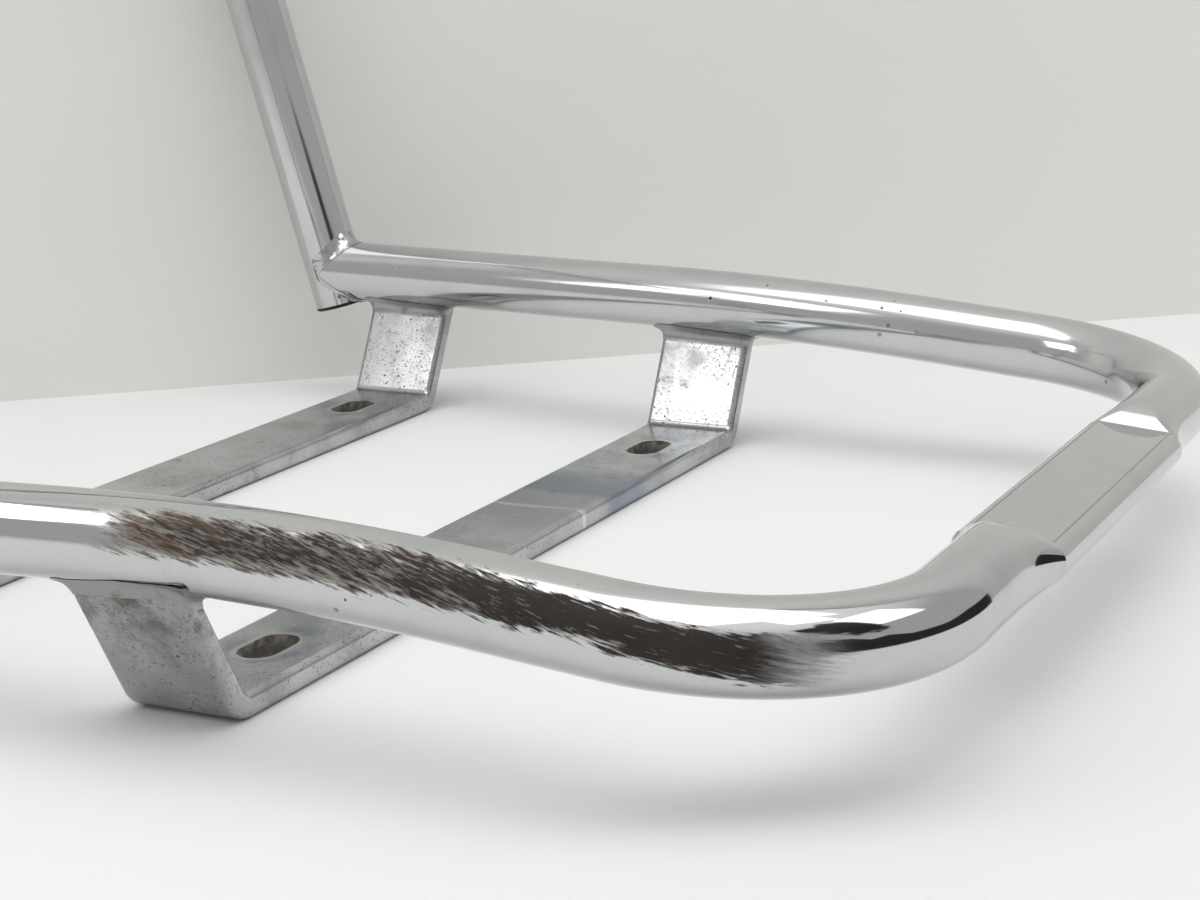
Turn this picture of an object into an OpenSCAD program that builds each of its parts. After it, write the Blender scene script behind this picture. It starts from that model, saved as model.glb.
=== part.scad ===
// Chromed luggage rack for a motorcycle, with the hoop of a backrest.
// Millimetres. +X runs to the rear, +Z up, and the rider's left side is -Y.
// The origin is midway between the front strap's two bolt slots, on its underside.

/* [Tube] */
// Outside diameter of the bent tube
tube_d = 20; // [18:0.5:22]
// Wall thickness of the tube
tube_wall = 1.5; // [1:0.25:2.5]

/* [Loop] */
// Height of the side rails' axes above the straps' underside
rail_h = 44.2; // [40:0.2:60]
// Distance from the middle to each rail's axis, in the rear part
rail_half = 146; // [120:1:180]
// Angle at which the rails spread towards the front
rail_splay = 6.3; // [2:0.1:8]
// Angle at which the rear part of the loop drops
rail_drop = 5.4; // [2:0.1:7]
// Place where the front and rear runs of a rail would cross
rail_bend_x = 147.5; // [140:0.5:160]
// Radius of the gentle bend in each rail
rail_bend_r = 700; // [300:10:750]
// Place of the rear cross tube's axis
loop_rear_x = 280; // [275:0.5:320]
// Bend radius of the two rear corners
loop_corner_r = 52; // [40:1:56]

/* [Pressed Cross Tube] */
// Length of the flat pressed into the rear cross tube
press_len = 108; // [60:1:130]
// Height of the cross tube where it is pressed flat
press_h = 9.4; // [6:0.1:16]
// Length over which the pressed tube runs out to round again
press_run = 24; // [12:1:26]

/* [Backrest Hoop] */
// Place of the hoop's legs where the rails meet them
hoop_x = -33.9; // [-50:0.1:-27]
// Angle at which the hoop leans to the front
hoop_lean = 13.9; // [0:0.1:16]
// Angle at which each leg of the hoop leans to the middle
hoop_tuck = 3; // [0:0.1:6]
// Height of the hoop's top axis above the rails' axes
hoop_rise = 205; // [120:1:300]
// Bend radius of the hoop's two corners
hoop_corner_r = 60; // [40:1:70]
// Length of each leg below the rail's axis
hoop_foot = 12; // [11.2:0.1:20]

/* [End Plugs] */
// Thickness of a plug's head
plug_head = 1.2; // [0.8:0.1:3]
// Length of a plug's stem
plug_stem = 12; // [6:0.5:20]
// Number of gripping rings on a plug's stem
plug_rings = 3; // [1:1:4]
// Gap between a plug's rings and the tube's bore
plug_gap = 0.1; // [0.05:0.05:0.4]

/* [Straps] */
// Distance between the middles of the two straps
strap_pitch = 119; // [100:1:130]
// Width of the straps' flat bar
strap_w = 30; // [24:0.5:36]
// Thickness of the straps' flat bar
strap_t = 6; // [4:0.25:7]
// Radius of the bar's rounded edges
strap_edge_r = 1.8; // [0.5:0.1:1.9]
// Inside radius of the bends
strap_bend_r = 2.5; // [2:0.5:8]
// Angle at which the legs lean outwards
strap_lean = 28; // [20:0.5:34]
// Distance from a rail's axis to the outer face of a leg
strap_seat = 9.4; // [8:0.1:9.6]

/* [Bolt Slots] */
// Width of a slot
slot_w = 10; // [6:0.5:12]
// Length of a slot from end to end
slot_len = 18; // [14:0.5:24]
// Distance between the middles of the rear strap's slots
rear_slot_span = 206; // [160:1:210]
// Distance between the middles of the front strap's slots
front_slot_span = 242; // [190:1:244]

/* [Welds] */
// Leg length of the weld round each strap end
strap_weld = 4; // [2:0.25:5]
// Leg length of the weld where a rail meets the hoop
hoop_weld = 4; // [2:0.25:6]

/* [Hidden] */

chrome = [0.80, 0.81, 0.82];
dull_chrome = [0.62, 0.63, 0.62];
weld_chrome = [0.72, 0.73, 0.73];
black_plastic = [0.06, 0.06, 0.06];

tube_r = tube_d / 2;
bore_r = tube_r - tube_wall;
side_y = [0, 1, 0];
tube_fn = 96;
loft_n = 48;
// How far one stretch of a swept section runs into the next
overlap = 0.5;
// A bend stands this much proud of the straight stretches, as a drawn bend does
bend_step = 0.01;
bend_overlap = 0.05;
// A band or loft made of facets keeps this far inside the round piece that it ends in
loft_gap = 0.03;

// Directions of a left to right mirrored rail, given for the +Y side
rail_front_dir = [-cos(rail_splay), sin(rail_splay), 0];
rail_rear_dir = [cos(rail_drop), 0, -sin(rail_drop)];
rail_bend = [rail_bend_x, rail_half, rail_h];
loop_corner = rail_bend + rail_rear_dir * (loop_rear_x - rail_bend_x) / cos(rail_drop);
cross_z = loop_corner.z;

// Point on the front run of the +Y rail's axis at a given x
function rail_at(x) = rail_bend + rail_front_dir * (rail_bend_x - x) / cos(rail_splay);

// The hoop lies in one plane, leaned to the front about the line through both rails' ends
hoop_up = [-sin(hoop_lean), 0, cos(hoop_lean)];
hoop_leg_dir = unit(hoop_up - side_y * tan(hoop_tuck));
hoop_seat = rail_at(hoop_x);
hoop_foot_end = hoop_seat - hoop_leg_dir * hoop_foot;
hoop_corner = hoop_seat + hoop_leg_dir * hoop_rise / cos(hoop_lean) / cos(hoop_tuck);

// The two stretches of the cross tube next to its flat
flat_end_y = press_len / 2;
round_end_y = flat_end_y + press_run;

// Small helpers on vectors
function unit(v) = v / norm(v);
function mirrored(p) = [p.x, -p.y, p.z];
function turn_angle(a, b) = atan2(norm(cross(a, b)), a * b);
function tangent_len(a, b, r) = r * tan(turn_angle(a, b) / 2);
function any_side(d) = unit(cross(d, abs(d.z) < 0.9 ? [0, 0, 1] : [1, 0, 0]));

// Moves its children into a frame of three directions at a point
module place(o, x, y, z) {
    multmatrix([
        [x.x, y.x, z.x, o.x],
        [x.y, y.y, z.y, o.y],
        [x.z, y.z, z.z, o.z],
        [0, 0, 0, 1]
    ]) children();
}

// Extrudes a section from p to q, with the section's y along the side direction
module straight(p, q, side) {
    d = unit(q - p);
    place(p, cross(side, d), side, d) linear_extrude(norm(q - p)) children();
}

// Directions across a bend from a to b: its axis, and the way to its centre from each run
function bend_axis(a, b) = unit(cross(a, b));
function turned(side, a, b) =
    let (m = bend_axis(a, b)) m * (side * m) + cross(m, b) * (side * cross(m, a));

// Revolves a section round the bend at corner v between directions a and b
module bend(v, a, b, r, side) {
    m = bend_axis(a, b);
    outward = cross(a, m);
    across = cross(side, a);
    centre = v - a * tangent_len(a, b, r) - outward * r;
    place(centre, outward, a, m)
        rotate_extrude(angle = turn_angle(a, b), $fn = max(tube_fn * 2, r)) translate([r, 0])
            multmatrix([
                [across * outward, side * outward, 0, 0],
                [across * m, side * m, 0, 0],
                [0, 0, 1, 0],
                [0, 0, 0, 1]
            ]) children();
}

// Sweeps a section along corner points joined by bends. Its y direction starts along side
// and turns with the bends. The first child is the section of the straight stretches, and
// the second is the bends', which is larger by bend_step
module sweep_along(points, radii, side) {
    last = len(points) - 1;
    dirs = [for (i = [0:last - 1]) unit(points[i + 1] - points[i])];
    cut = [for (i = [0:last])
        i == 0 || i == last ? 0 : tangent_len(dirs[i - 1], dirs[i], radii[i - 1]) - bend_overlap];
    sides = [for (i = 0, s = side; i < last;
        s = i + 1 < last ? turned(s, dirs[i], dirs[i + 1]) : s, i = i + 1) s];
    for (i = [0:last - 1])
        straight(points[i] + dirs[i] * cut[i], points[i + 1] - dirs[i] * cut[i + 1], sides[i])
            children(0);
    for (i = [1:last - 1])
        bend(points[i], dirs[i - 1], dirs[i], radii[i - 1], sides[i - 1]) children(1);
}

// A round section swept along a tube and its bends
module sweep_tube(points, radii, r) {
    sweep_along(points, radii, any_side(points[1] - points[0])) {
        circle(r, $fn = tube_fn);
        circle(r + bend_step, $fn = tube_fn);
    }
}

// Faces that share a corner need it at the very same place, so corners go to round values
function settled(rings) = [for (ring = rings) each [for (p = ring) [for (c = p) round(c * 1000) / 1000]]];

// Two triangles for each cell of a net of points, n points to a row
function net_faces(rows, n, wrap) = [
    for (k = [0:rows - (wrap ? 1 : 2)], i = [0:n - 1])
        let (a = k * n, b = (k + 1) % rows * n, j = (i + 1) % n)
        each [[a + i, a + j, b + j], [a + i, b + j, b + i]]
];

// Joins rings of equally many points into one closed skin, with flat ends
module skin(rings) {
    n = len(rings[0]);
    last = len(rings) - 1;
    caps = [[for (i = [n - 1:-1:0]) i], [for (i = [0:n - 1]) last * n + i]];
    polyhedron(settled(rings), concat(caps, net_faces(last + 1, n, false)), convexity = 6);
}

// Joins rings into a closed band whose last ring meets the first
module ring_skin(rings) {
    n = len(rings[0]);
    polyhedron(settled(rings), net_faces(len(rings), n, true), convexity = 6);
}

// One rail with its rear corner and its part of the cross tube, as far as the pressed stretch
module rail_side(r, front_more = 0) {
    front = rail_at(hoop_x - front_more);
    rear = [loop_corner.x, round_end_y - overlap, cross_z];
    sweep_tube([front, rail_bend, loop_corner, rear], [rail_bend_r, loop_corner_r], r);
}

// The stretch of a rail that the straps and the hoop are welded to
module welded_rail() {
    straight(rail_at(hoop_x), bend_start - rail_front_dir * bend_overlap, any_side(rail_front_dir))
        circle(tube_r, $fn = tube_fn);
    bend(rail_bend, -rail_front_dir, rail_rear_dir, rail_bend_r, any_side(rail_front_dir))
        circle(tube_r + bend_step, $fn = tube_fn);
}

// A tube squeezed between two dies keeps the length round its section:
// its flat sides grow as its round ends get smaller
function squeezed_flat(r, end_r) = PI * (r - end_r);
function squeezed_point(r, end_r, a) =
    [cos(a) * end_r + sign(round(cos(a) * 1e6)) * squeezed_flat(r, end_r) / 2, sin(a) * end_r];
// Share of the squeeze that is left at a distance from the end of the flat
function squeeze_share(d) = d <= 0 ? 1 : pow(1 - d / press_run, 6);
function cross_ring(r, y) =
    let (
        loss = tube_r - press_h / 2,
        end_r = r - loss * squeeze_share(min(abs(y) - flat_end_y, press_run))
    )
    [for (i = [0:loft_n - 1])
        let (
            p = squeezed_point(r - loft_gap, end_r - loft_gap, 360 * (i + 0.5) / loft_n),
            along = rail_rear_dir * p.x,
            out = cross(rail_rear_dir, side_y) * p.y
        )
        [loop_corner.x, y, cross_z] + along + out];

// The pressed part of the cross tube, running out to round at both ends
module pressed_cross(r) {
    steps = 9;
    outwards = [for (i = [0:steps]) flat_end_y + pow(i / steps, 1.8) * press_run];
    stations = concat([for (i = [steps:-1:0]) -outwards[i]], outwards);
    skin([for (y = stations) cross_ring(r, y)]);
}

module loop_solid(r, front_more = 0) {
    rail_side(r, front_more);
    mirror(side_y) rail_side(r, front_more);
    pressed_cross(r);
}

module hoop_solid(r, foot_more = 0) {
    foot = hoop_foot_end - hoop_leg_dir * foot_more;
    corners = [foot, hoop_corner, mirrored(hoop_corner), mirrored(foot)];
    sweep_tube(corners, [hoop_corner_r, hoop_corner_r], r);
}

// The straight part of the +Y leg of the hoop, to which the rail's end is fitted
module hoop_leg() {
    straight(hoop_foot_end, hoop_seat + hoop_leg_dir * tube_d * 2, any_side(hoop_leg_dir))
        circle(tube_r, $fn = tube_fn);
}

module rack_loop() {
    color(chrome)
    difference() {
        loop_solid(tube_r);
        loop_solid(bore_r, overlap);
        hoop_leg();
        mirror(side_y) hoop_leg();
    }
}

module backrest_hoop() {
    color(chrome)
    difference() {
        hoop_solid(tube_r);
        hoop_solid(bore_r, overlap);
    }
}

// Thickness of a weld at its edge, and its gap to the pieces that it joins
weld_toe = 0.18;
weld_gap = 0.1;
// Share of its full size that the weld on the hoop keeps at the tubes' sides
thin_share = 0.12;
// Distance that the weld on the hoop stays clear of the end of the leg
weld_to_foot = 0.5;
// A leg stops this share of the tube's radius short of the place nearest to the tube's axis
leg_short = 0.25;

// A strap's middle line from leg to leg. Its legs reach the rails where they pass over it
function strap_line(x) =
    let (
        rail = rail_at(x),
        out = [0, cos(strap_lean), -sin(strap_lean)],
        up = [0, sin(strap_lean), cos(strap_lean)],
        near = rail + out * (strap_seat - strap_t / 2),
        top = near - up * tube_r * leg_short,
        corner = near - up * (near.z - strap_t / 2) / cos(strap_lean),
        flat = function (p) [x, p.y, p.z]
    )
    [flat(top), flat(corner), mirrored(flat(corner)), mirrored(flat(top))];

// Section of the flat bar with rounded edges, thickness along x
module bar_section(more = 0) {
    r = strap_edge_r;
    t = strap_t + 2 * more;
    w = strap_w + 2 * more;
    square([t, w - 2 * r], center = true);
    square([t - 2 * r, w], center = true);
    for (sx = [-1, 1], sy = [-1, 1])
        translate([sx * (t / 2 - r), sy * (w / 2 - r)]) circle(r, $fn = 32);
}

module slot(x, y) {
    run = slot_len - slot_w;
    translate([x, y, -strap_t]) {
        for (s = [-1, 1]) translate([0, s * run / 2, 0]) cylinder(h = 3 * strap_t, d = slot_w, $fn = 64);
        translate([-slot_w / 2, -run / 2, 0]) cube([slot_w, run, 3 * strap_t]);
    }
}

module strap(x, slot_span) {
    bend_r = strap_bend_r + strap_t / 2;
    color(dull_chrome)
    difference() {
        sweep_along(strap_line(x), [bend_r, bend_r], [1, 0, 0]) {
            bar_section();
            bar_section(bend_step);
        }
        for (s = [-1, 1]) slot(x, s * slot_span / 2);
        welded_rail();
        mirror(side_y) welded_rail();
    }
}

module rear_strap() { strap(strap_pitch, rear_slot_span); }
module front_strap() { strap(0, front_slot_span); }

// A plug pressed into the foot of a hoop leg, drawn with its head at z = 0 and its stem upwards
module plug_shape() {
    ring_r = bore_r - plug_gap;
    core_r = ring_r - 0.8;
    pitch = plug_stem / (plug_rings + 1);
    head_edge = plug_head * 0.6;
    rings = [for (i = [1:plug_rings]) each [
        [core_r, pitch * i - 0.9], [ring_r, pitch * i - 0.3], [ring_r, pitch * i + 0.3], [core_r, pitch * i + 0.6]
    ]];
    profile = concat(
        [[0, -plug_head], [tube_r - head_edge, -plug_head]],
        [for (a = [-75:15:0]) [tube_r - head_edge + head_edge * cos(a), -plug_head + head_edge * (1 + sin(a))]],
        [[tube_r, 0], [core_r, 0]],
        rings,
        [[core_r, plug_stem - 1], [core_r - 1, plug_stem], [0, plug_stem]]
    );
    rotate_extrude($fn = 64) polygon(profile);
}

module right_end_plug() {
    side = any_side(hoop_leg_dir);
    color(black_plastic)
    place(hoop_foot_end, cross(side, hoop_leg_dir), side, hoop_leg_dir) plug_shape();
}
module left_end_plug() { mirror(side_y) right_end_plug(); }

// How far it is from point p along a direction to the near side of a tube of radius r
// about the axis through c along t, or to the nearest pass where the tube is missed
function reach(p, dir, c, t, r) =
    let (
        w = cross(t, p - c),
        u = cross(t, dir),
        miss = w * w - r * r
    )
    (-(w * u) - sqrt(max(0, pow(w * u, 2) - (u * u) * miss))) / (u * u);

// Section of a weld as [share of how far out, share of how far from the joint]: the hollow
// face from its toe to the tube that it ends on, and then back along both pieces
weld_face = [for (h = [1, 0.8, 0.6, 0.4, 0.2, 0]) [1 - sqrt(1 - pow(1 - h, 2)), h]];
weld_back = concat([for (f = [0.8:-0.2:0.1]) [f, 0]], [[0, 0], [0, 1]]);
function weld_out(s, k, size) = k < len(weld_face) ? weld_toe + s.x * size : weld_gap + s.x * size;

// Axis point and direction of the +Y rail at a given x, as far as its gentle bend goes
bend_start = rail_bend + rail_front_dir * tangent_len(-rail_front_dir, rail_rear_dir, rail_bend_r);
function rail_near(x) =
    let (
        a = -rail_front_dir,
        inward = cross(bend_axis(a, rail_rear_dir), a),
        turn = max(0, x - bend_start.x) / a.x / rail_bend_r * 180 / PI
    )
    turn == 0 ? [rail_at(x), a] : [
        bend_start + (a * sin(turn) + inward * (1 - cos(turn))) * rail_bend_r,
        a * cos(turn) + inward * sin(turn)
    ];

// Stations round the bar's outline, as [middle of the corner's curve, outward angle]
side_steps = [5, 1, 5, 1];
function corner_middle(q) =
    [(q % 4 == 0 || q % 4 == 3 ? 1 : -1) * (strap_w / 2 - strap_edge_r),
        (q % 4 < 2 ? 1 : -1) * (strap_t / 2 - strap_edge_r)];
outline = [for (q = [0:3]) each concat(
    [for (j = [0:5]) [corner_middle(q), 90 * q + 18 * j]],
    [for (j = [1:side_steps[q]])
        [corner_middle(q) + (corner_middle(q + 1) - corner_middle(q)) * j / (side_steps[q] + 1), 90 * q + 90]]
)];

// The weld round a leg's end: a band round the bar that opens out onto the tube, and is
// thin on the leg's outer face, which is nearly as far out as the tube's side
module strap_weld_right(x) {
    line = strap_line(x);
    up = unit(line[0] - line[1]);
    out = cross(up, [1, 0, 0]);
    outer_share = (tube_r - strap_seat) / strap_weld;
    section = concat(weld_face, weld_back);
    rings = [for (station = outline)
        let (
            a = station[1],
            share = sin(a) > 0 ? 1 - (1 - outer_share) * pow(sin(a), 2) : 1
        )
        [for (k = [0:len(section) - 1])
            let (
                r = strap_edge_r + weld_out(section[k], k, strap_weld * share),
                q = station[0] + [cos(a), sin(a)] * r,
                foot = line[0] + [q.x, 0, 0] + out * q.y,
                rail = rail_near(foot.x),
                joint = min(-weld_gap, reach(foot, up, rail[0], rail[1], tube_r + weld_gap))
            )
            foot + up * (joint - section[k].y * strap_weld)]];
    color(weld_chrome) ring_skin(rings);
}

module rear_right_weld() { strap_weld_right(strap_pitch); }
module rear_left_weld() { mirror(side_y) rear_right_weld(); }
module front_right_weld() { strap_weld_right(0); }
module front_left_weld() { mirror(side_y) front_right_weld(); }

// The weld round a rail's end on the hoop's leg. It is full above the rail, stays on
// the leg below it, and thins out at the sides, where the two tubes are equally wide
module hoop_right_weld() {
    d = -rail_front_dir;
    side = unit(cross(hoop_leg_dir, d));
    top = cross(d, side);
    low_room = (hoop_foot * (hoop_leg_dir * top) - tube_r - weld_toe - weld_to_foot) / hoop_weld;
    section = concat(weld_face, weld_back);
    rings = [for (i = [0:loft_n - 1])
        let (
            a = 360 * i / loft_n,
            most = sin(a) > 0 ? 1 : max(0.1, min(1, low_room)),
            size = hoop_weld * (thin_share + (most - thin_share) * pow(abs(sin(a)), 1.5))
        )
        [for (k = [0:len(section) - 1])
            let (
                foot = hoop_seat + (side * cos(a) + top * sin(a)) * (tube_r + weld_out(section[k], k, size)),
                joint = reach(foot, -d, hoop_seat, hoop_leg_dir, tube_r + weld_gap)
            )
            foot + d * (section[k].y * size - joint)]];
    color(weld_chrome) ring_skin(rings);
}
module hoop_left_weld() { mirror(side_y) hoop_right_weld(); }

rack_loop();
backrest_hoop();
rear_strap();
front_strap();
left_end_plug();
right_end_plug();
rear_left_weld();
rear_right_weld();
front_left_weld();
front_right_weld();
hoop_left_weld();
hoop_right_weld();
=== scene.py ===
"""Dresses the frame of a chromed luggage rack: bent tubes, straps, welds and end plugs."""

import math

import bmesh
import bpy
from mathutils import Matrix, Vector


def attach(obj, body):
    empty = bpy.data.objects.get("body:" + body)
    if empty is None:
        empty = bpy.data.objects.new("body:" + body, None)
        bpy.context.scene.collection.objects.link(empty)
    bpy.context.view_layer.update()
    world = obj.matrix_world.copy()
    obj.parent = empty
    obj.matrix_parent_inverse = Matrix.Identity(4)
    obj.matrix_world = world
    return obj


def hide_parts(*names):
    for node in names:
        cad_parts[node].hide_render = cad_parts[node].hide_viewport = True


bl_info = {
    "name": "Chromed Luggage Rack",
    "version": (1, 0, 0),
    "blender": (4, 5, 0),
    "location": "View3D > Sidebar > Rack",
    "description": "Builds and finishes the pieces of a tubular luggage rack",
    "category": "Object",
}

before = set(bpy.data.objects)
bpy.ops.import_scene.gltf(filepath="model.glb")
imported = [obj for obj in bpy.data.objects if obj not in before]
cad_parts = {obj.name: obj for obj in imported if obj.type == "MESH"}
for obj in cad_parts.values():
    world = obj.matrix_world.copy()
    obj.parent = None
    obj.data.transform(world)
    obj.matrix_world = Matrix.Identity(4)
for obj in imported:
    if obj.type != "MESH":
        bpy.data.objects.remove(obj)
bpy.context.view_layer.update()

MM = 0.001
UP = Vector((0, 0, 1))
LEFT_TO_RIGHT = Vector((0, 1, 0))

# Straps with a slot at each end: the slots' place, and whether a band crosses the strap
STRAP_SLOTS = (
    ("front_strap", 0, 121 * MM, False),
    ("rear_strap", 119 * MM, 103 * MM, True),
)
SLOT_R = 5 * MM
SLOT_STRAIGHT = 8 * MM

# How finely the tubes are drawn, and how far they stay inside the frame's own skin
TUBE_SIDES = 96
CORNER_STEPS = 30
GENTLE_STEPS = 24
PRESS_STEPS = 12
SKIN_GAP = 0.01 * MM

# How the pressed flat runs out: how fast it fades at its steadiest and how much faster on
# its inner upper side, and how the rings crowd towards the flat. A ring's vertex nearer
# than SEAM to its middle line stays on that line
FADE_LEAST, FADE_MORE = 2.5, 1.125
RING_CROWDING = 1.8
SEAM = 1e-4

# Corners nearer than this are one corner, and weld edges sharper than this stay sharp
SAME_CORNER = 1e-6
WELD_CREASE = math.radians(50)


def length(name, description, millimetres):
    return bpy.props.FloatProperty(
        name=name,
        description=description,
        default=millimetres * MM,
        subtype="DISTANCE",
        precision=4,
    )


def angle(name, description, degrees):
    return bpy.props.FloatProperty(
        name=name,
        description=description,
        default=math.radians(degrees),
        subtype="ANGLE",
    )


def colour(name, description, red, green, blue):
    return bpy.props.FloatVectorProperty(
        name=name,
        description=description,
        default=(red, green, blue, 1),
        subtype="COLOR",
        size=4,
        min=0.0,
        max=1.0,
    )


def share(name, description, default):
    return bpy.props.FloatProperty(
        name=name,
        description=description,
        default=default,
        subtype="FACTOR",
        min=0.0,
        max=1.0,
    )


class RackSizes(bpy.types.PropertyGroup):
    tube_r: length("Tube radius", "Outer radius of the loop's and hoop's tube", 10)
    rail_h: length("Rail height", "Height of the rails' axes at the front", 44.2)
    rail_half: length("Half width", "From the middle to a rail's axis at the rear", 146)
    rail_splay: angle("Splay", "How far the rails spread towards the front", 6.3)
    rail_drop: angle("Drop", "How far the rails dip towards the rear", 5.4)
    rail_bend_x: length("Bend place", "Where the splay meets the drop", 147.5)
    rail_bend_r: length("Bend radius", "Radius of the rails' gentle bends", 700)
    loop_rear_x: length("Rear end", "Where the cross tube's axis lies", 280)
    loop_corner_r: length("Loop corner", "Radius of the loop's rear corners", 52)
    flat_end: length("Half flat", "From the middle to an end of the pressed flat", 54)
    press_h: length("Pressed height", "Thickness of the pressed flat", 9.4)
    press_run: length("Run-out", "Length in which the flat turns round again", 24)
    hoop_x: length("Hoop place", "Where the hoop's legs cross the rails", -33.9)
    hoop_lean: angle("Hoop lean", "How far the hoop leans forward", 13.9)
    hoop_tuck: angle("Hoop tuck", "How far the hoop's legs lean inward", 3)
    hoop_rise: length("Hoop rise", "From the rails' axes to the hoop's top", 205)
    hoop_corner_r: length("Hoop corner", "Radius of the hoop's upper corners", 60)
    hoop_foot: length("Hoop foot", "From the rails' axes down to the legs' ends", 12)


class RackFinish(bpy.types.PropertyGroup):
    chrome_bright: colour("Bright chrome", "Clean plating", 0.585, 0.595, 0.595)
    chrome_dull: colour("Dull chrome", "Hazy plating", 0.52, 0.53, 0.54)
    strap_grey: colour("Strap grey", "Dulled plating of the straps", 0.38, 0.38, 0.38)
    plug_black: colour("Plug black", "End plugs", 0.012, 0.012, 0.013)
    floor_colour: colour("Floor", "Floor of the stage", 0.82, 0.83, 0.825)
    wall_colour: colour("Backdrop", "Backdrop of the stage", 0.80, 0.80, 0.765)
    gloss: share("Chrome roughness", "Roughness of the cleanest plating", 0.05)
    wear: share("Wear", "How much of the worn patch shows", 1.0)


class RackLines:
    """The directions and run lengths that the tubes' axes follow."""

    def __init__(self, sizes):
        self.sizes = sizes
        splay, drop = sizes.rail_splay, sizes.rail_drop
        self.back = Vector((math.cos(splay), math.sin(splay), 0))
        self.down = Vector((math.cos(drop), 0, -math.sin(drop)))
        self.over = Vector((math.sin(drop), 0, math.cos(drop)))
        gentle = self.back.angle(self.down)
        cut = sizes.rail_bend_r * math.tan(gentle / 2)
        self.front_run = (sizes.rail_bend_x - sizes.hoop_x) / math.cos(splay) - cut
        self.rear_run = (sizes.loop_rear_x - sizes.rail_bend_x) / math.cos(drop)
        self.rear_run -= cut + sizes.loop_corner_r
        self.side_run = sizes.rail_half - sizes.loop_corner_r
        self.side_run -= sizes.flat_end + sizes.press_run
        bends = gentle * sizes.rail_bend_r + math.pi / 2 * sizes.loop_corner_r
        straights = self.front_run + self.rear_run + self.side_run + sizes.press_run
        self.flat_from = bends + straights
        self.flat_to = self.flat_from + 2 * sizes.flat_end

    def left_rail_at(self, x):
        """Point on the straight front run of the left rail's axis."""
        sizes = self.sizes
        bend = Vector((sizes.rail_bend_x, -sizes.rail_half, sizes.rail_h))
        back = (sizes.rail_bend_x - x) / math.cos(sizes.rail_splay)
        return bend - self.back * back


class BentTube:
    """A tube drawn from one end to the other by pushing a ring of edges along."""

    def __init__(self, start, direction, across, radius):
        self.bm = bmesh.new()
        self.uv = self.bm.loops.layers.uv.new("along_round")
        self.along = self.bm.verts.layers.float.new("along")
        self.round = self.bm.verts.layers.float.new("round")
        self.centre, self.direction = start.copy(), direction.normalized()
        self.radius, self.run = radius, 0.0
        over = self.direction.cross(across)
        place = Matrix((-over, across, self.direction)).transposed().to_4x4()
        place.translation = start
        made = bmesh.ops.create_circle(
            self.bm,
            cap_ends=True,
            segments=TUBE_SIDES,
            radius=radius - SKIN_GAP,
            matrix=place,
        )
        for number, vert in enumerate(made["verts"]):
            vert[self.round] = number / TUBE_SIDES
        self.ring = list(self.bm.edges)

    def push(self):
        """Extrudes the last ring and returns the new ring's vertices."""
        made = bmesh.ops.extrude_edge_only(self.bm, edges=self.ring)["geom"]
        verts = [item for item in made if isinstance(item, bmesh.types.BMVert)]
        fresh = set(verts)
        self.ring = [
            item
            for item in made
            if isinstance(item, bmesh.types.BMEdge) and fresh.issuperset(item.verts)
        ]
        return verts

    def mark(self, verts, step):
        self.run += step
        for vert in verts:
            vert[self.along] = self.run

    def straight(self, run):
        verts = self.push()
        move = self.direction * run
        bmesh.ops.translate(self.bm, vec=move, verts=verts)
        self.centre = self.centre + move
        self.mark(verts, run)

    def bend(self, towards, radius, steps):
        """Turns the run from its direction to another one on an arc."""
        axis = self.direction.cross(towards).normalized()
        part = self.direction.angle(towards) / steps
        pivot = self.centre + axis.cross(self.direction) * radius
        turn = Matrix.Rotation(part, 3, axis)
        for _ in range(steps):
            verts = self.push()
            bmesh.ops.rotate(self.bm, cent=pivot, matrix=turn, verts=verts)
            self.centre = pivot + turn @ (self.centre - pivot)
            self.mark(verts, radius * part)
        self.direction = towards.normalized()

    def finish(self, name):
        """Closes the far end, maps the skin and makes the mesh into an object."""
        bmesh.ops.contextual_create(self.bm, geom=self.ring)
        girth = math.tau * self.radius
        for face in self.bm.faces:
            places = [loop.vert[self.round] for loop in face.loops]
            face.smooth = len(places) == 4
            wraps = face.smooth and max(places) - min(places) > 0.5
            for loop, place in zip(face.loops, places):
                if wraps and place < 0.5:
                    place += 1
                loop[self.uv].uv = (loop.vert[self.along], place * girth)
        bmesh.ops.recalc_face_normals(self.bm, faces=self.bm.faces)
        piece = object_from(self.bm, name)
        shading = piece.modifiers.new("even_shading", "WEIGHTED_NORMAL")
        shading.keep_sharp = True
        return piece


def object_from(bm, name):
    mesh = bpy.data.meshes.new(name)
    bm.to_mesh(mesh)
    bm.free()
    piece = bpy.data.objects.new(name, mesh)
    bpy.context.collection.objects.link(piece)
    return piece


def press(tube, lines, y):
    """Presses the last ring to the cross tube's section at y, with its girth kept."""
    sizes = lines.sizes
    past = min(max(abs(y) - sizes.flat_end, 0), sizes.press_run)
    left = 1 - past / sizes.press_run
    for vert in {vert for edge in tube.ring for vert in edge.verts}:
        around = vert[tube.round] * math.tau
        inward, upward = math.cos(around), math.sin(around)
        steep = FADE_LEAST + FADE_MORE * (1 + inward) * (1 + upward)
        loss = (sizes.tube_r - sizes.press_h / 2) * left**steep
        end_r = sizes.tube_r - SKIN_GAP - loss
        out = -inward * end_r
        if abs(inward) > SEAM:
            out -= math.copysign(math.pi * loss / 2, inward)
        vert.co = tube.centre + lines.down * out + lines.over * (upward * end_r)


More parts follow.
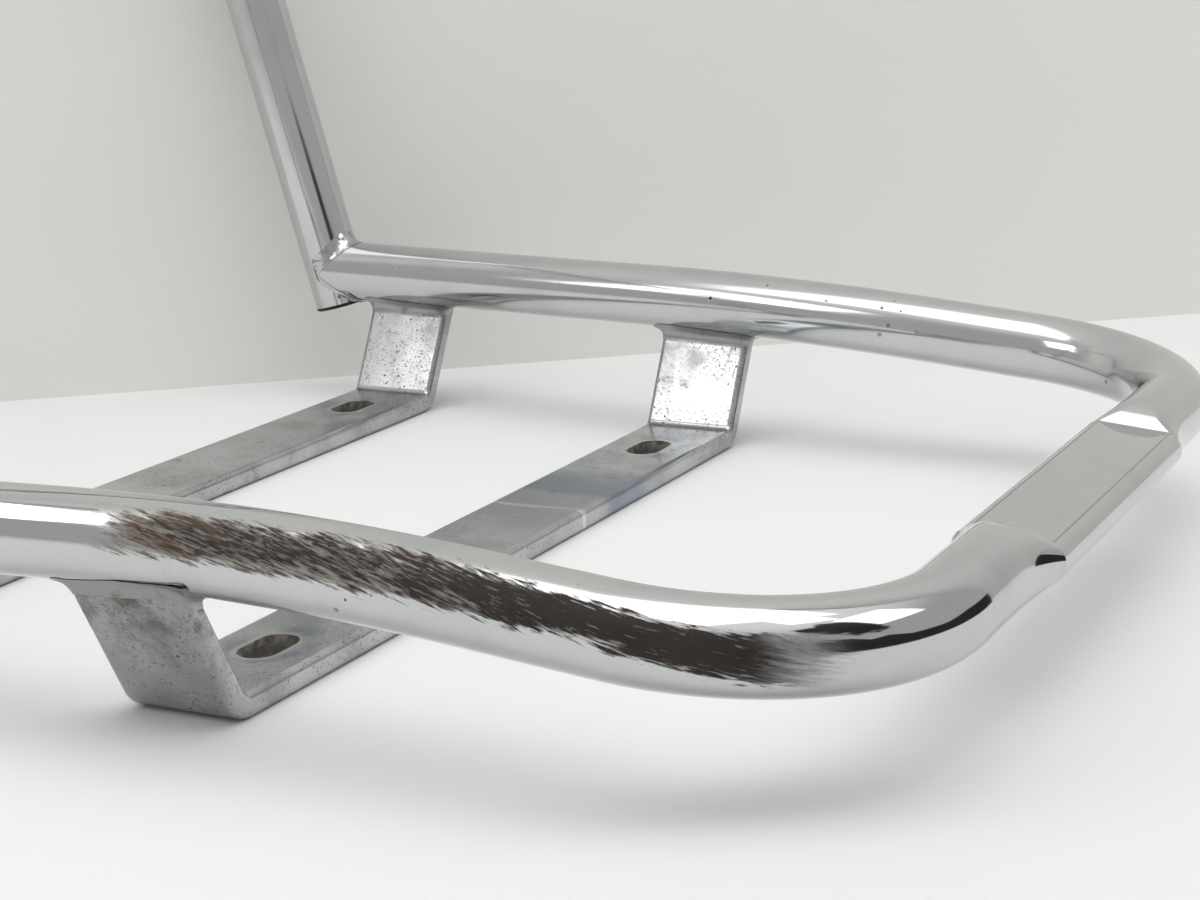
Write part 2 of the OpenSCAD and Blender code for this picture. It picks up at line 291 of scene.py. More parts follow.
def loop_tube(name, lines):
    """The loop: left rail, rear cross tube with its pressed flat, and right rail."""
    sizes = lines.sizes
    start = lines.left_rail_at(sizes.hoop_x)
    tube = BentTube(start, lines.back, UP.cross(lines.back), sizes.tube_r)
    tube.straight(lines.front_run)
    tube.bend(lines.down, sizes.rail_bend_r, GENTLE_STEPS)
    tube.straight(lines.rear_run)
    tube.bend(LEFT_TO_RIGHT, sizes.loop_corner_r, CORNER_STEPS)
    tube.straight(lines.side_run)
    outwards = [
        sizes.flat_end + sizes.press_run * (step / PRESS_STEPS) ** RING_CROWDING
        for step in range(PRESS_STEPS + 1)
    ]
    stations = [-y for y in reversed(outwards[:-1])] + [-sizes.flat_end / 3]
    for y in stations + [sizes.flat_end / 3] + outwards:
        tube.straight(y - tube.centre.y)
        press(tube, lines, y)
    tube.straight(lines.side_run)
    tube.bend(-lines.down, sizes.loop_corner_r, CORNER_STEPS)
    tube.straight(lines.rear_run)
    forward = Vector((-lines.back.x, lines.back.y, 0))
    tube.bend(forward, sizes.rail_bend_r, GENTLE_STEPS)
    tube.straight(lines.front_run)
    return tube.finish(name)


def hoop_tube(name, lines):
    """The backrest hoop, from the left foot over the top to the right foot."""
    sizes = lines.sizes
    lean, tuck = sizes.hoop_lean, sizes.hoop_tuck
    leg = Vector((-math.sin(lean), math.tan(tuck), math.cos(lean))).normalized()
    seat = lines.left_rail_at(sizes.hoop_x)
    corner = seat + leg * (sizes.hoop_rise / math.cos(lean) / math.cos(tuck))
    foot = seat - leg * sizes.hoop_foot
    radius = sizes.hoop_corner_r
    cut = radius * math.tan(leg.angle(LEFT_TO_RIGHT) / 2)
    across = leg.cross(LEFT_TO_RIGHT).normalized()
    tube = BentTube(foot, leg, across, sizes.tube_r)
    leg_run = (corner - foot).length - cut
    tube.straight(leg_run)
    tube.bend(LEFT_TO_RIGHT, radius, CORNER_STEPS)
    tube.straight(-2 * (corner.y + cut))
    tube.bend(Vector((-leg.x, leg.y, -leg.z)), radius, CORNER_STEPS)
    tube.straight(leg_run)
    return tube.finish(name)


def smoothed_copy(node, name, crease):
    """A frame node's mesh with its faces joined up and shaded smoothly."""
    bm = bmesh.new()
    bm.from_mesh(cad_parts[node].data)
    bmesh.ops.remove_doubles(bm, verts=bm.verts, dist=SAME_CORNER)
    for face in bm.faces:
        face.smooth = True
    for edge in bm.edges:
        if len(edge.link_faces) == 2 and edge.calc_face_angle(0) > crease:
            edge.smooth = False
    return object_from(bm, name)


def fill(tree, socket, value):
    """Links another node's output to a socket, or writes a plain value on it."""
    if isinstance(value, bpy.types.NodeSocket):
        tree.links.new(value, socket)
    else:
        socket.default_value = value


def add_node(tree, kind, values, output=0, **settings):
    """Adds a node to a tree, fills its sockets and returns one of its outputs."""
    made = tree.nodes.new(kind)
    for key, value in settings.items():
        setattr(made, key, value)
    for key, value in values.items():
        fill(tree, made.inputs[key], value)
    return made.outputs[output]


class Shader:
    """Short way to write a node material."""

    def __init__(self, name):
        self.material = bpy.data.materials.new(name)
        self.material.use_nodes = True
        self.tree = self.material.node_tree
        self.surface = self.tree.nodes["Principled BSDF"]

    def node(self, kind, values, output=0, **settings):
        return add_node(self.tree, kind, values, output, **settings)

    def math(self, operation, a, b=0.0, c=0.0):
        return self.node("ShaderNodeMath", {0: a, 1: b, 2: c}, operation=operation)

    def ramp(self, value, low, high, start=0.0, end=1.0):
        """A smooth step from one level to another as the value goes from low to high."""
        values = {"Value": value, 1: low, 2: high, 3: start, 4: end}
        return self.node(
            "ShaderNodeMapRange", values, interpolation_type="SMOOTHSTEP", clamp=True
        )

    def mix(self, share, a, b):
        return self.node(
            "ShaderNodeMix", {"Factor": share, 6: a, 7: b}, output=2, data_type="RGBA"
        )

    def blend(self, share, a, b):
        return self.node("ShaderNodeMix", {"Factor": share, 2: a, 3: b})

    def object_place(self):
        return self.node("ShaderNodeTexCoord", {}, output=3)

    def skin_place(self):
        return self.node("ShaderNodeUVMap", {}, uv_map="along_round")

    def split(self, vector, axis):
        return self.node("ShaderNodeSeparateXYZ", {0: vector}, output=axis)

    def stretched(self, vector, along, across, turn=0.0):
        """Turns the flat place, then counts it in cells per metre along and across."""
        values = {
            "Vector": vector,
            "Scale": (1 / along, 1 / across, 1),
            "Rotation": (0, 0, turn),
        }
        return self.node("ShaderNodeMapping", values, vector_type="TEXTURE")

    def noise(self, vector, scale, detail=3.0, rough=0.5, twist=0.0):
        values = {
            "Vector": vector,
            "Scale": scale,
            "Detail": detail,
            "Roughness": rough,
            "Distortion": twist,
        }
        return self.node("ShaderNodeTexNoise", values)

    def spots(self, vector, scale, size, crowd=0.5):
        """Small round spots, each in its own cell, in a share of the cells."""
        near = self.node("ShaderNodeTexVoronoi", {"Vector": vector, "Scale": scale})
        cell = self.node(
            "ShaderNodeTexVoronoi", {"Vector": vector, "Scale": scale}, output=1
        )
        pick = self.split(cell, 0)
        radius = self.math("MULTIPLY", self.split(cell, 1), size)
        here = self.math("LESS_THAN", near, radius)
        soft = self.ramp(near, self.math("MULTIPLY", radius, 0.5), radius, 1.0, 0.0)
        shown = self.math("MULTIPLY", here, self.math("LESS_THAN", pick, crowd))
        return self.math("MULTIPLY", soft, shown)

    def bump(self, height, strength, distance):
        values = {"Height": height, "Strength": strength, "Distance": distance}
        return self.node("ShaderNodeBump", values)

    def finish(self, **values):
        for key, value in values.items():
            fill(self.tree, self.surface.inputs[key.replace("_", " ")], value)
        return self.material


# Painted dark reflection lines along the flat's edges: place around the tube, width and
# strength
FLAT_EDGE_REFLECTIONS = ((13.7 * MM, 0.7 * MM, 0.75), (17.9 * MM, 0.6 * MM, 0.45))
# Colour of the painted dark reflection lines along the flat's edges
EDGE_REFLECTION_DARK = (0.05, 0.05, 0.052, 1)
PIT_BROWN = (0.045, 0.032, 0.024, 1)
# Near black: soot in the worn patch, and painted shade towards the bottom of the slot
# walls
SOOT_AND_SHADE_BLACK = (0.013, 0.0085, 0.006, 1)
RUST_BROWN = (0.095, 0.052, 0.03, 1)
SMEAR_TAUPE = (0.15, 0.125, 0.098, 1)
SMEAR_PALE = (0.38, 0.34, 0.285, 1)
# Grey of real grime on welds and straps, also used as painted shade on the left strap legs
GRIME_AND_SHADE_GREY = (0.13, 0.12, 0.11, 1)
STAIN_BLUE = (0.16, 0.20, 0.27, 1)
RUST_PALE = (0.26, 0.22, 0.18, 1)
RUBBED_PALE = (0.78, 0.77, 0.75, 1)
DUST_GREY = (0.2, 0.19, 0.18, 1)
SCUFF_GREY = (0.6, 0.6, 0.58, 1)
SCREEN_BLACK = (0.006, 0.006, 0.007, 1)

# Where the worn patch starts and ends along the left rail, each fading over a length
PATCH_START = (148 * MM, 160 * MM)
PATCH_END = (290 * MM, 308 * MM)


def tube_chrome(name, finish, lines, worn):
    """Bright plating with pits and hazy streaks, and on the loop painted dark reflection
    lines along the flat's edges and its worn patch.
    """
    shade = Shader(name)
    place = shade.object_place()
    haze = shade.noise(place, 38, 4, 0.55)
    rough = shade.ramp(haze, 0.35, 0.75, finish.gloss, finish.gloss + 0.07)
    hazy = shade.ramp(shade.split(place, 1), 0.04, 0.13, 0, 0.06)
    rough = shade.math("ADD", rough, hazy)
    pits = shade.spots(place, 330, 0.3, 0.16)
    crowd = shade.ramp(shade.noise(place, 26, 2), 0.52, 0.7)
    pits = shade.math("MULTIPLY", pits, crowd)
    tint = shade.mix(
        shade.ramp(haze, 0.4, 0.8), finish.chrome_bright, finish.chrome_dull
    )
    colour = shade.mix(pits, tint, PIT_BROWN)
    rough = shade.math("ADD", rough, shade.math("MULTIPLY", pits, 0.5))
    metal = shade.math("SUBTRACT", 1.0, shade.math("MULTIPLY", pits, 0.8))
    height = shade.math("MULTIPLY", pits, -1.0)
    if worn:
        # Painted reflections: dark lines along the pressed flat's edges
        colour = painted_edge_reflections(shade, lines, colour)
        colour, rough, metal, height = worn_patch(
            shade, finish, lines.sizes.tube_r, (colour, rough, metal, height)
        )
    return shade.finish(
        Base_Color=colour,
        Roughness=rough,
        Metallic=metal,
        Normal=shade.bump(height, 0.5, 0.15 * MM),
    )


def painted_edge_reflections(shade, lines, colour):
    """Painted dark reflection lines where the cross tube's flat turns over its edges."""
    skin = shade.skin_place()
    along = shade.split(skin, 0)
    across = shade.split(skin, 1)
    on_flat = shade.math(
        "MULTIPLY",
        shade.ramp(along, lines.flat_from - 1 * MM, lines.flat_from + 2 * MM),
        shade.ramp(along, lines.flat_to - 2 * MM, lines.flat_to + 1 * MM, 1, 0),
    )
    for place, wide, share in FLAT_EDGE_REFLECTIONS:
        off = shade.math("ABSOLUTE", shade.math("SUBTRACT", across, place))
        line = shade.math("MULTIPLY", shade.ramp(off, wide / 2, wide, share, 0), on_flat)
        colour = shade.mix(line, colour, EDGE_REFLECTION_DARK)
    return colour


def worn_patch(shade, finish, tube_r, clean):
    """The scuffed, sooty patch along the outer face of the left rail."""
    colour, rough, metal, height = clean
    skin = shade.skin_place()
    along = shade.split(skin, 0)
    lift = shade.math("MULTIPLY", shade.split(skin, 1), -1 / tube_r)
    lift = shade.math("ADD", lift, math.pi)

    # Streaks run along the tube and slant down to the rear
    broad = shade.noise(shade.stretched(skin, 70, 300, 0.16), 1, 3, 0.55, 0.4)
    streak = shade.noise(shade.stretched(skin, 170, 1300, 0.22), 1, 4, 0.65, 0.4)
    fine = shade.noise(shade.stretched(skin, 330, 3200, 0.24), 1, 3, 0.6, 0.2)
    ragged = shade.math("MULTIPLY", shade.math("SUBTRACT", streak, 0.5), 0.75)
    wander = shade.math("MULTIPLY", shade.math("SUBTRACT", broad, 0.5), 0.4)
    spread = shade.math("ADD", ragged, wander)

    # Where the patch lies: its upper and lower edge are angles above the tube's outer side
    top = shade.ramp(along, 0.225, 0.306, 1.14, 0.62)
    low = shade.ramp(along, 0.262, 0.296, 0.0, -0.50)
    above = shade.math("ADD", shade.math("SUBTRACT", top, lift), spread)
    below = shade.math("ADD", shade.math("SUBTRACT", lift, low), spread)
    slid = shade.math("ADD", along, shade.math("MULTIPLY", spread, 0.02))
    inside = shade.math(
        "MULTIPLY", shade.ramp(above, 0, 0.13), shade.ramp(below, 0, 0.13)
    )
    inside = shade.math("MULTIPLY", inside, shade.ramp(slid, *PATCH_START))
    inside = shade.math("MULTIPLY", inside, shade.ramp(slid, *PATCH_END, 1, 0))

    # Pale smears with dark streaks over them, darkest in the middle and to the rear
    core = shade.math(
        "MULTIPLY", shade.ramp(above, 0.02, 0.34), shade.ramp(below, 0.05, 0.42)
    )
    dark = shade.math("MULTIPLY", streak, 0.42)
    dark = shade.math("ADD", dark, shade.math("MULTIPLY", broad, 0.22))
    dark = shade.math("ADD", dark, shade.math("MULTIPLY", fine, 0.36))
    dark = shade.math("ADD", dark, shade.math("MULTIPLY", core, 0.10))
    dark = shade.math("ADD", dark, shade.ramp(along, 0.215, 0.262, 0, 0.09))
    dark = shade.math("ADD", dark, shade.ramp(along, 0.150, 0.170, -0.06, 0))
    sooty = shade.ramp(dark, 0.46, 0.62)
    warm = shade.ramp(broad, 0.42, 0.62)
    warm = shade.math("MULTIPLY", warm, shade.ramp(along, 0.160, 0.190, 1, 0.12))
    dirt = shade.mix(warm, SOOT_AND_SHADE_BLACK, RUST_BROWN)
    smear = shade.mix(shade.ramp(fine, 0.35, 0.65), SMEAR_TAUPE, SMEAR_PALE)
    stain = shade.mix(sooty, smear, dirt)
    thin = shade.ramp(dark, 0.38, 0.50, 0.45, 0.9)
    cover = shade.math("MULTIPLY", inside, shade.math("MAXIMUM", thin, sooty))
    cover = shade.math("MULTIPLY", cover, finish.wear)
    colour = shade.mix(cover, colour, stain)
    rough = shade.blend(cover, rough, shade.blend(sooty, 0.45, 0.72))
    metal = shade.blend(cover, metal, shade.blend(sooty, 0.45, 0.05))
    grooves = shade.math("MULTIPLY", shade.math("SUBTRACT", streak, 0.5), cover)
    height = shade.math("ADD", height, shade.math("MULTIPLY", grooves, 1.6))
    return colour, rough, metal, height


def strap_chrome(name, finish, slot_x, slot_y, banded):
    """Duller plating of a strap, pitted, grimy towards its ends, with painted shade on the
    left ends, and rusty in its slots.
    """
    shade = Shader(name)
    place = shade.object_place()
    haze = shade.noise(place, 55, 4, 0.6)
    rough = shade.ramp(haze, 0.3, 0.75, finish.gloss + 0.07, finish.gloss + 0.22)
    crowd = shade.ramp(shade.noise(place, 42, 3, 0.6), 0.36, 0.62)
    pits = shade.math("MULTIPLY", shade.spots(place, 700, 0.36, 0.3), crowd)
    specks = shade.ramp(shade.noise(place, 1300, 2, 0.6), 0.57, 0.66)
    specks = shade.math("MULTIPLY", specks, shade.ramp(crowd, 0, 1, 0.25, 1.0))
    tint = shade.mix(
        shade.ramp(haze, 0.3, 0.7), finish.chrome_dull, finish.strap_grey
    )
    colour = shade.mix(shade.math("MULTIPLY", specks, 0.55), tint, PIT_BROWN)
    colour = shade.mix(pits, colour, PIT_BROWN)
    stain = shade.ramp(shade.noise(place, 75, 4, 0.65, 0.5), 0.6, 0.74)
    colour = shade.mix(shade.math("MULTIPLY", stain, 0.35), colour, RUST_BROWN)

    # Grime gathers on the ends that rise to the rails; on the left ends painted shade
    # darkens it further, and the right ends stay cleaner and more mirror-like
    rise = shade.ramp(shade.split(place, 2), 0.010, 0.034)
    grime_and_shade = shade.ramp(shade.noise(place, 110, 4, 0.65), 0.42, 0.66)
    # Painted shade: the left legs darker and less metallic than the right ones
    left = shade.ramp(shade.split(place, 1), -0.12, -0.05, 1, 0.2)
    rise = shade.math("MULTIPLY", rise, left)
    grime_and_shade = shade.math("MULTIPLY", shade.math("ADD", grime_and_shade, 0.35), rise)
    colour = shade.mix(shade.math("MULTIPLY", grime_and_shade, 0.85), colour, GRIME_AND_SHADE_GREY)

    # One strap has a dim band across it and a pale rubbed line beside the band
    if banded:
        over = shade.split(place, 1)
        over = shade.math("ADD", over, shade.math("MULTIPLY", haze, 0.006))
        band = shade.math(
            "MULTIPLY",
            shade.ramp(over, 0.046, 0.051),
            shade.ramp(over, 0.066, 0.078, 1, 0),
        )
        colour = shade.mix(shade.math("MULTIPLY", band, 0.62), colour, STAIN_BLUE)
        line = shade.math("ABSOLUTE", shade.math("SUBTRACT", over, 0.032))
        line = shade.ramp(line, 0.6 * MM, 1.6 * MM, 0.8, 0)
        colour = shade.mix(line, colour, RUBBED_PALE)

    # Rust on the wall of each slot, with painted shade darkening it towards the bottom, a
    # pale rim and a bluish stain around it
    across = shade.math("SUBTRACT", shade.split(place, 0), slot_x)
    run = shade.math("SUBTRACT", shade.math("ABSOLUTE", shade.split(place, 1)), slot_y)
    past = shade.math("SUBTRACT", shade.math("ABSOLUTE", run), SLOT_STRAIGHT / 2)
    past = shade.math("MAXIMUM", past, 0.0)
    past = shade.node("ShaderNodeCombineXYZ", {0: across, 1: past})
    near = shade.node("ShaderNodeVectorMath", {0: past}, output=1, operation="LENGTH")
    wall = shade.ramp(near, SLOT_R + 0.1 * MM, SLOT_R + 0.5 * MM, 1, 0)
    rim = shade.ramp(near, SLOT_R + 1.2 * MM, SLOT_R + 2.2 * MM, 1, 0)
    blue = shade.ramp(near, SLOT_R + 3 * MM, SLOT_R + 9 * MM, 1, 0)
    blotch = shade.ramp(shade.noise(place, 130, 3, 0.6), 0.46, 0.6)
    blue = shade.math("MULTIPLY", shade.math("MULTIPLY", blue, blotch), 0.6)
    colour = shade.mix(blue, colour, STAIN_BLUE)
    colour = shade.mix(shade.math("MULTIPLY", rim, 0.5), colour, finish.chrome_bright)
    crust = shade.ramp(shade.noise(place, 420, 4, 0.7), 0.40, 0.62)
    slot_rust_and_shade = shade.mix(crust, PIT_BROWN, RUST_PALE)
    # Painted shade: the slot wall turns near black towards its bottom
    deep_shade = shade.ramp(shade.split(place, 2), 2.5 * MM, 5.2 * MM, 0.75, 0)
    slot_rust_and_shade = shade.mix(deep_shade, slot_rust_and_shade, SOOT_AND_SHADE_BLACK)
    colour = shade.mix(shade.math("MULTIPLY", wall, 0.85), colour, slot_rust_and_shade)

    rough = shade.math("ADD", rough, shade.math("MULTIPLY", pits, 0.4))
    rough = shade.math("ADD", rough, shade.math("MULTIPLY", stain, 0.15))
    rough = shade.math("ADD", rough, shade.math("MULTIPLY", grime_and_shade, 0.2))
    rough = shade.math("ADD", rough, shade.math("MULTIPLY", wall, 0.4))
    lost = shade.math("MAXIMUM", shade.math("MAXIMUM", pits, wall), grime_and_shade)
    metal = shade.math("SUBTRACT", 1.0, shade.math("MULTIPLY", lost, 0.6))
    height = shade.math("ADD", pits, shade.math("MULTIPLY", specks, 0.4))
    return shade.finish(
        Base_Color=colour,
        Roughness=rough,
        Metallic=metal,
        Normal=shade.bump(shade.math("MULTIPLY", height, -1.0), 0.45, 0.12 * MM),
    )


def weld_chrome(name, plating, stained, rough):
    """Plating over smoothed welds, slightly rippled and stained in its hollows."""
    shade = Shader(name)
    place = shade.object_place()
    ripple = shade.noise(place, 260, 3, 0.55)
    stain = shade.ramp(shade.noise(place, 180, 4, 0.6), 0.5, 0.72, 0, stained)
    return shade.finish(
        Base_Color=shade.mix(stain, plating, GRIME_AND_SHADE_GREY),
        Roughness=shade.math("MULTIPLY_ADD", stain, 0.25, rough),
        Metallic=shade.math("MULTIPLY_ADD", stain, -0.6, 1.0),
        Normal=shade.bump(ripple, 0.5, 0.4 * MM),
    )


def plug_plastic(name, finish):
    """Black moulded plastic with a dusty bloom."""
    shade = Shader(name)
    place = shade.object_place()
    dust = shade.ramp(shade.noise(place, 300, 4, 0.6), 0.45, 0.8)
    colour = shade.mix(
        shade.math("MULTIPLY", dust, 0.1), finish.plug_black, DUST_GREY
    )
    return shade.finish(
        Base_Color=colour,
        Roughness=shade.ramp(dust, 0, 1, 0.5, 0.7),
        Specular_IOR_Level=0.3,
        Normal=shade.bump(shade.noise(place, 900, 2), 0.2, 0.1 * MM),
    )


def stage_paint(name, colour, marks):
    """Dull paint with faint cloudy marks."""
    shade = Shader(name)
    place = shade.object_place()
    cloud = shade.ramp(shade.noise(place, 4, 3), 0.3, 0.7)
    shown = shade.mix(shade.math("MULTIPLY", cloud, marks), colour, SCUFF_GREY)
    return shade.finish(Base_Color=shown, Roughness=0.7)


def one_sided(material):
    """Makes a backdrop clear from behind, so that it hides nothing in other views."""
    tree = material.node_tree
    side = tree.nodes.new("ShaderNodeNewGeometry")
    clear = tree.nodes.new("ShaderNodeBsdfTransparent")
    mix = tree.nodes.new("ShaderNodeMixShader")
    tree.links.new(side.outputs["Backfacing"], mix.inputs[0])
    tree.links.new(tree.nodes["Principled BSDF"].outputs[0], mix.inputs[1])
    tree.links.new(clear.outputs[0], mix.inputs[2])
    tree.links.new(mix.outputs[0], tree.nodes["Material Output"].inputs[0])
    return material


def give(piece, material):
    piece.data.materials.clear()
    piece.data.materials.append(material)


class RACK_OT_loop(bpy.types.Operator):
    """Draws the loop and finishes it in worn chrome"""

    bl_idname = "rack.loop"
    bl_label = "Loop"

    def execute(self, context):
        lines = RackLines(context.scene.rack_sizes)
        piece = loop_tube("bent_loop", lines)
        give(piece, tube_chrome("worn_chrome", context.scene.rack_finish, lines, True))
        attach(piece, "root")
        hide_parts("rack_loop")
        return {"FINISHED"}


class RACK_OT_hoop(bpy.types.Operator):
    """Draws the backrest hoop and finishes it in chrome"""

    bl_idname = "rack.hoop"
    bl_label = "Backrest hoop"

    def execute(self, context):
        lines = RackLines(context.scene.rack_sizes)
        piece = hoop_tube("bent_hoop", lines)
        give(piece, tube_chrome("hoop_chrome", context.scene.rack_finish, lines, False))
        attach(piece, "root")
        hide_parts("backrest_hoop")
        return {"FINISHED"}


class RACK_OT_straps(bpy.types.Operator):
    """Finishes the two straps"""

    bl_idname = "rack.straps"
    bl_label = "Straps"

    def execute(self, context):
        finish = context.scene.rack_finish
        for node, *place in STRAP_SLOTS:
            material = strap_chrome(node + "_chrome", finish, *place)
            give(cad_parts[node], material)
        return {"FINISHED"}


class RACK_OT_welds(bpy.types.Operator):
    """Smooths and finishes the welds"""

    bl_idname = "rack.welds"
    bl_label = "Welds"

    def execute(self, context):
        finish = context.scene.rack_finish
        bright = weld_chrome("bright_weld", finish.chrome_dull, 0.45, 0.12)
        dull = weld_chrome("dull_weld", finish.strap_grey, 0.8, 0.32)
        for node in sorted(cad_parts):
            if not node.endswith("_weld"):
                continue
            piece = smoothed_copy(node, node + "_bead", WELD_CREASE)
            give(piece, bright if node.startswith("hoop") else dull)
            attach(piece, "root")
            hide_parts(node)
        return {"FINISHED"}


class RACK_OT_plugs(bpy.types.Operator):
    """Finishes the end plugs of the hoop's legs"""

    bl_idname = "rack.plugs"
    bl_label = "End plugs"

    def execute(self, context):
        material = plug_plastic("plug_plastic", context.scene.rack_finish)
        for node in ("left_end_plug", "right_end_plug"):
            give(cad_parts[node], material)
        return {"FINISHED"}


# The backdrop's foot line, and its rise, which leans back a little
BACKDROP_FEET = ((-2.053, -1.497, 0), (0.857, 0.943, 0))
BACKDROP_RISE = Vector((-0.068, 0.080, 2.0))
# Foot points and heights of a low dark screen, for the dark band in the chrome
DARK_SCREEN = (
    (0.70, -0.44, 0.25),
    (0.735, -0.32, 0.27),
    (0.765, -0.22, 0.24),
    (0.775, -0.16, 0.17),
    (0.78, -0.08, 0.19),
    (0.78, 0.0, 0.13),
    (0.775, 0.06, 0.12),
    (0.72, 0.16, 0.10),
    (0.64, 0.26, 0.12),
    (0.53, 0.36, 0.10),
)
CAMERA_PLACE = Vector((419.23, -524.21, 175.69)) * MM
CAMERA_YAW, CAMERA_PITCH, CAMERA_ROLL = 0.468, 0.240, -0.027
CAMERA_LENS = 69.57
CAMERA_SENSOR = 36.0

FLOOR_HALF = 3
# Lamps, each with its place, its size and its power, which all face the rack's middle
RACK_MIDDLE = Vector((0.12, 0, 0.05))
LAMPS = (
    ("ceiling", (0.1, -0.1, 1.5), (1.4, 1.4), 8.0),
    ("side", (-0.21, -0.35, 0.42), (0.30, 0.22), 0.55),
    ("window", (0.89, 0.22, 0.77), (0.4, 0.35), 0.95),
    ("skylight", (0.64, -0.06, 0.98), (0.3, 0.3), 0.55),
)
# The room's light level, and its ceiling's with the rise at which that sets in
ROOM_LIGHT, CEILING_LIGHT = 0.5, 1.05
CEILING_RISE = (0.55, 0.9)
# A dim patch of the room: azimuth and rise, reach in degrees, ragged edge and level
DIM_PATCH_AIM, DIM_PATCH_REACH = (0, 42), 14
DIM_PATCH_RAGGED, DIM_PATCH_BLUR, DIM_PATCH_LIGHT = 0.12, 0.012, 0.06


def add_camera():
    flat = math.cos(CAMERA_PITCH)
    ahead = Vector(
        (
            -math.sin(CAMERA_YAW) * flat,
            math.cos(CAMERA_YAW) * flat,
            -math.sin(CAMERA_PITCH),
        )
    )
    right = Vector((math.cos(CAMERA_YAW), math.sin(CAMERA_YAW), 0))
    over = right.cross(ahead)
    cos_roll, sin_roll = math.cos(CAMERA_ROLL), math.sin(CAMERA_ROLL)
    turned_right = cos_roll * right + sin_roll * over
    turned_up = cos_roll * over - sin_roll * right
    data = bpy.data.cameras.new("view")
    data.sensor_width = CAMERA_SENSOR
    data.lens = CAMERA_LENS
    data.clip_start = 0.01
    camera = bpy.data.objects.new("view", data)
    turn = Matrix((turned_right, turned_up, -ahead)).transposed().to_4x4()
    camera.matrix_world = Matrix.Translation(CAMERA_PLACE) @ turn
    bpy.context.collection.objects.link(camera)
    bpy.context.scene.camera = camera


def add_lamp(name, place, size, power):
    """A soft area lamp that faces the rack and isn't seen by the camera."""
    place = Vector(place)
    data = bpy.data.lights.new(name, "AREA")
    data.shape = "RECTANGLE"
    data.size, data.size_y = size
    data.energy = power
    lamp = bpy.data.objects.new(name, data)
    lamp.location = place
    lamp.rotation_euler = (RACK_MIDDLE - place).to_track_quat("-Z", "Y").to_euler()
    lamp.visible_camera = False
    bpy.context.collection.objects.link(lamp)


def add_floor(material):
    bm = bmesh.new()
    bmesh.ops.create_grid(bm, x_segments=1, y_segments=1, size=FLOOR_HALF)
    floor = object_from(bm, "floor")
    give(floor, material)


def add_wall(name, feet, rises, facing, material):
    """A thin wall drawn up from its foot line, with its faces turned one way."""
    bm = bmesh.new()
    corners = [bm.verts.new(foot) for foot in feet]
    line = [bm.edges.new(pair) for pair in zip(corners, corners[1:])]
    made = bmesh.ops.extrude_edge_only(bm, edges=line)["geom"]
    for vert in made:
        if isinstance(vert, bmesh.types.BMVert):
            near = min(range(len(feet)), key=lambda i: (vert.co - feet[i]).length)
            bmesh.ops.translate(bm, vec=rises[near], verts=[vert])
    bm.normal_update()
    turned = [face for face in bm.faces if face.normal.dot(facing) < 0]
    bmesh.ops.reverse_faces(bm, faces=turned)
    wall = object_from(bm, name)
    give(wall, material)
    return wall


def aim(azimuth, rise):
    """Direction at an azimuth and a rise given in degrees."""
    azimuth, rise = math.radians(azimuth), math.radians(rise)
    flat = math.cos(rise)
    return (flat * math.cos(azimuth), flat * math.sin(azimuth), math.sin(rise))


def add_room(scene):
    """A grey room with a pale ceiling and one dim patch for the chrome to mirror."""
    world = bpy.data.worlds.new("room")
    scene.world = world
    world.use_nodes = True
    tree = world.node_tree

    def step(value, low, high, start, end):
        values = {"Value": value, 1: low, 2: high, 3: start, 4: end}
        return add_node(
            tree, "ShaderNodeMapRange", values, interpolation_type="SMOOTHSTEP"
        )

    look = add_node(tree, "ShaderNodeTexCoord", {})
    rise = add_node(tree, "ShaderNodeSeparateXYZ", {0: look}, output=2)
    light = step(rise, *CEILING_RISE, ROOM_LIGHT, CEILING_LIGHT)
    ragged = add_node(
        tree, "ShaderNodeTexNoise", {"Vector": look, "Scale": 5.0, "Detail": 3.0}
    )
    toward = add_node(
        tree,
        "ShaderNodeVectorMath",
        {0: look, 1: aim(*DIM_PATCH_AIM)},
        output=1,
        operation="DOT_PRODUCT",
    )
    toward = add_node(
        tree,
        "ShaderNodeMath",
        {0: ragged, 1: DIM_PATCH_RAGGED, 2: toward},
        operation="MULTIPLY_ADD",
    )
    edge = math.cos(math.radians(DIM_PATCH_REACH)) + DIM_PATCH_RAGGED / 2
    shown = step(toward, edge, edge + DIM_PATCH_BLUR, 1.0, DIM_PATCH_LIGHT)
    light = add_node(
        tree, "ShaderNodeMath", {0: light, 1: shown}, operation="MULTIPLY"
    )
    tree.links.new(light, tree.nodes["Background"].inputs[0])


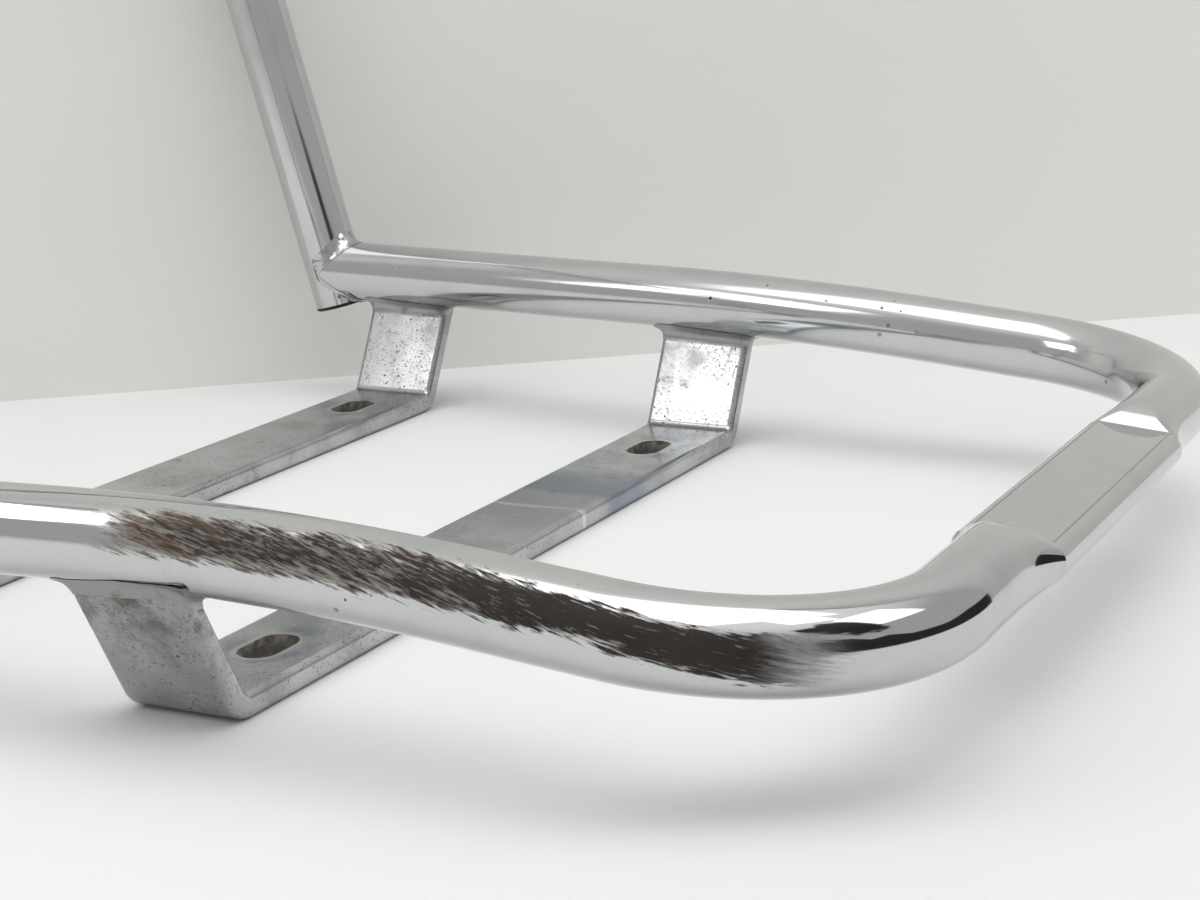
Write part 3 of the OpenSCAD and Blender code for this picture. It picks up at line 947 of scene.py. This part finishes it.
class RACK_OT_stage(bpy.types.Operator):
    """Adds the camera, lamps, floor, backdrop and the room that the chrome mirrors"""

    bl_idname = "rack.stage"
    bl_label = "Stage"

    def execute(self, context):
        finish = context.scene.rack_finish
        add_camera()
        for lamp in LAMPS:
            add_lamp(*lamp)
        add_floor(stage_paint("floor_paint", finish.floor_colour, 0.15))
        add_wall(
            "backdrop",
            [Vector(foot) for foot in BACKDROP_FEET],
            [BACKDROP_RISE] * 2,
            BACKDROP_RISE.cross(UP).cross(BACKDROP_RISE),
            one_sided(stage_paint("wall_paint", finish.wall_colour, 0.2)),
        )
        screen = add_wall(
            "screen",
            [Vector((x, y, 0)) for x, y, _ in DARK_SCREEN],
            [UP * height for _, _, height in DARK_SCREEN],
            Vector((-1, 0, 0)),
            stage_paint("screen_paint", SCREEN_BLACK, 0.0),
        )
        screen.visible_camera = False
        screen.visible_diffuse = False
        screen.visible_shadow = False
        add_room(context.scene)
        context.scene.view_settings.view_transform = "Standard"
        return {"FINISHED"}


OPERATORS = (
    RACK_OT_stage,
    RACK_OT_loop,
    RACK_OT_hoop,
    RACK_OT_straps,
    RACK_OT_welds,
    RACK_OT_plugs,
)


class RACK_PT_panel(bpy.types.Panel):
    """Lists the pieces of the rack"""

    bl_label = "Rack"
    bl_idname = "RACK_PT_panel"
    bl_space_type = "VIEW_3D"
    bl_region_type = "UI"
    bl_category = "Rack"

    def draw(self, context):
        for operator in OPERATORS:
            self.layout.operator(operator.bl_idname)
        for group in (context.scene.rack_sizes, context.scene.rack_finish):
            for setting in group.__annotations__:
                self.layout.prop(group, setting)


def register():
    bpy.utils.register_class(RackSizes)
    bpy.utils.register_class(RackFinish)
    for operator in OPERATORS:
        bpy.utils.register_class(operator)
    bpy.utils.register_class(RACK_PT_panel)
    bpy.types.Scene.rack_sizes = bpy.props.PointerProperty(type=RackSizes)
    bpy.types.Scene.rack_finish = bpy.props.PointerProperty(type=RackFinish)


def unregister():
    del bpy.types.Scene.rack_finish
    del bpy.types.Scene.rack_sizes
    bpy.utils.unregister_class(RACK_PT_panel)
    for operator in reversed(OPERATORS):
        bpy.utils.unregister_class(operator)
    bpy.utils.unregister_class(RackFinish)
    bpy.utils.unregister_class(RackSizes)


def main():
    register()
    bpy.ops.rack.stage()
    bpy.ops.rack.loop()
    bpy.ops.rack.hoop()
    bpy.ops.rack.straps()
    bpy.ops.rack.welds()
    bpy.ops.rack.plugs()


if __name__ == "__main__":
    main()
